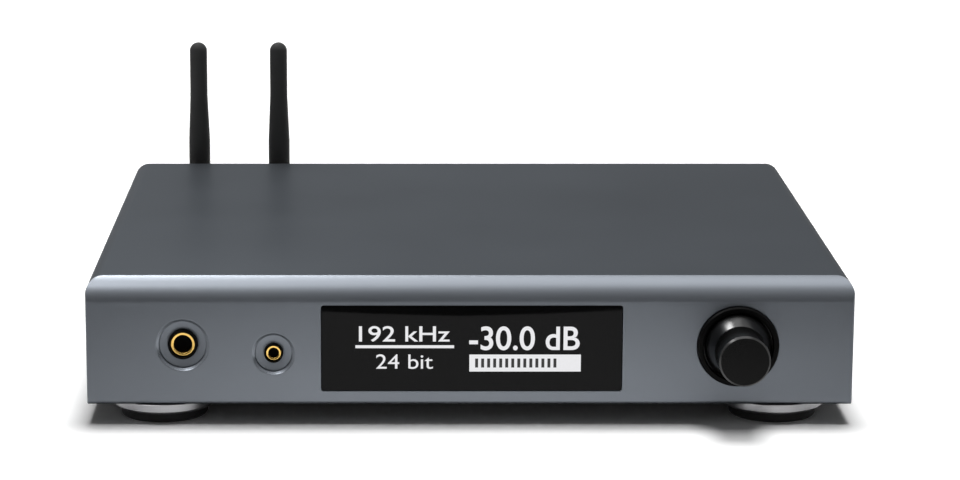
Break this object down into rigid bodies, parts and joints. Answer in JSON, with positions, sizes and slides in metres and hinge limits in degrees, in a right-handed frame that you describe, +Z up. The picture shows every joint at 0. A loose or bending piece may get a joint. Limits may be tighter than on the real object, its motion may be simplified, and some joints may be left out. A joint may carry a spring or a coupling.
{
  "type": "streaming amplifier",
  "caption": "Low wide box amplifier with rounded front edge, display window, headphone sockets, push-and-turn volume knob, round feet and upright folding aerials",
  "frame": {"origin": "on the surface under the feet, in the middle of the whole outline", "axes": "+X to the right seen from the front, the front faces -Y, +Z up"},
  "size_m": [0.28, 0.269, 0.106],
  "materials": {
    "black_anodised": "black anodised",
    "black_glass": "smoked glossy window",
    "black_plastic": "fine matt",
    "black_steel": "fine black powder coat",
    "capacitor_sleeve": "sleeved",
    "core_steel": "varnished",
    "foot_metal": "turned satin",
    "gilt": "polished and gilt",
    "green_board": "solder mask",
    "grey_cable": "flat cable",
    "grey_cover": "satin grey paint",
    "nickel": "bright nickel",
    "pad_rubber": "matt",
    "red_plastic": "moulded",
    "silver_panel": "satin grey anodised face",
    "white_plastic": "fine matt",
    "winding_tape": "taped",
    "zinc_steel": "zinc plated"
  },
  "bodies": {
    "case": {"aerial_couplings": "black_plastic", "aerial_sockets": "gilt", "amplifier_chips": "black_plastic", "base_plate": "black_steel", "board_screws": "zinc_steel", "capacitors": "capacitor_sleeve", "case_screws": "black_steel", "display_module": "black_plastic", "display_window": "black_glass", "encoder_body": "zinc_steel", "encoder_nut": "nickel", "feet": "foot_metal", "foot_pads": "pad_rubber", "foot_screws": "zinc_steel", "front_board": "green_board", "front_panel": "silver_panel", "heatsink": "black_anodised", "jack_board": "green_board", "knob_collar": "black_anodised", "large_jack_body": "black_plastic", "large_jack_ring": "gilt", "line_socket_body": "black_plastic", "line_socket_insulators": "white_plastic", "line_socket_shells": "gilt", "main_board": "green_board", "mains_blades": "nickel", "mains_inlet": "black_plastic", "network_socket": "zinc_steel", "optical_socket": "black_plastic", "panel_screws": "zinc_steel", "power_board": "green_board", "power_switch_frame": "black_plastic", "rear_panel": "black_steel", "ribbon_cable": "grey_cable", "ribbon_headers": "black_plastic", "small_jack_body": "black_plastic", "small_jack_ring": "gilt", "speaker_block": "black_plastic", "speaker_studs": "gilt", "standoffs": "nickel", "streamer_module": "zinc_steel", "top_cover": "grey_cover", "transformer_core": "core_steel", "transformer_winding": "winding_tape", "usb_socket": "zinc_steel"},
    "knob_plunger": {"encoder_plunger": "white_plastic"},
    "knob": {"volume_knob": "black_anodised", "knob_insert": "white_plastic", "encoder_shaft": "nickel"},
    "power_rocker": {"power_rocker": "black_plastic"},
    "speaker_cap_left_minus": {"speaker_cap_left_minus": "black_plastic"},
    "speaker_cap_left_plus": {"speaker_cap_left_plus": "red_plastic"},
    "speaker_cap_right_minus": {"speaker_cap_right_minus": "black_plastic"},
    "speaker_cap_right_plus": {"speaker_cap_right_plus": "red_plastic"},
    "aerial_elbow_left": {"aerial_elbow_left": "black_plastic"},
    "aerial_whip_left": {"aerial_whip_left": "black_plastic"},
    "aerial_elbow_right": {"aerial_elbow_right": "black_plastic"},
    "aerial_whip_right": {"aerial_whip_right": "black_plastic"}
  },
  "joints": [
    {"name": "knob_press", "type": "slide", "parent": "case", "child": "knob_plunger", "axis": [0, 1, 0], "range_m": [0, 0.0005], "stiffness_N_per_m": 6000},
    {"name": "knob_turn", "type": "hinge", "parent": "knob_plunger", "child": "knob", "pos_m": [0.0978, -0.1105, 0.0296], "axis": [0, 1, 0], "continuous": true},
    {"name": "power_rocker_tilt", "type": "hinge", "parent": "case", "child": "power_rocker", "pos_m": [0.0905, 0.1115, 0.0313], "axis": [1, 0, 0], "range_deg": [-20, 0]},
    {"name": "speaker_cap_left_minus_unscrew", "type": "slide", "parent": "case", "child": "speaker_cap_left_minus", "axis": [0, 1, 0], "range_m": [0, 0.004]},
    {"name": "speaker_cap_left_plus_unscrew", "type": "slide", "parent": "case", "child": "speaker_cap_left_plus", "axis": [0, 1, 0], "range_m": [0, 0.004]},
    {"name": "speaker_cap_right_minus_unscrew", "type": "slide", "parent": "case", "child": "speaker_cap_right_minus", "axis": [0, 1, 0], "range_m": [0, 0.004]},
    {"name": "speaker_cap_right_plus_unscrew", "type": "slide", "parent": "case", "child": "speaker_cap_right_plus", "axis": [0, 1, 0], "range_m": [0, 0.004]},
    {"name": "aerial_swivel_left", "type": "hinge", "parent": "case", "child": "aerial_elbow_left", "pos_m": [-0.1129, 0.1245, 0.033], "axis": [0, 1, 0], "range_deg": [-90, 10]},
    {"name": "aerial_tilt_left", "type": "hinge", "parent": "aerial_elbow_left", "child": "aerial_whip_left", "pos_m": [-0.1129, 0.1245, 0.033], "axis": [-1, 0, 0], "range_deg": [0, 90]},
    {"name": "aerial_swivel_right", "type": "hinge", "parent": "case", "child": "aerial_elbow_right", "pos_m": [-0.078, 0.1245, 0.033], "axis": [0, 1, 0], "range_deg": [-10, 90]},
    {"name": "aerial_tilt_right", "type": "hinge", "parent": "aerial_elbow_right", "child": "aerial_whip_right", "pos_m": [-0.078, 0.1245, 0.033], "axis": [-1, 0, 0], "range_deg": [0, 90]}
  ]
}
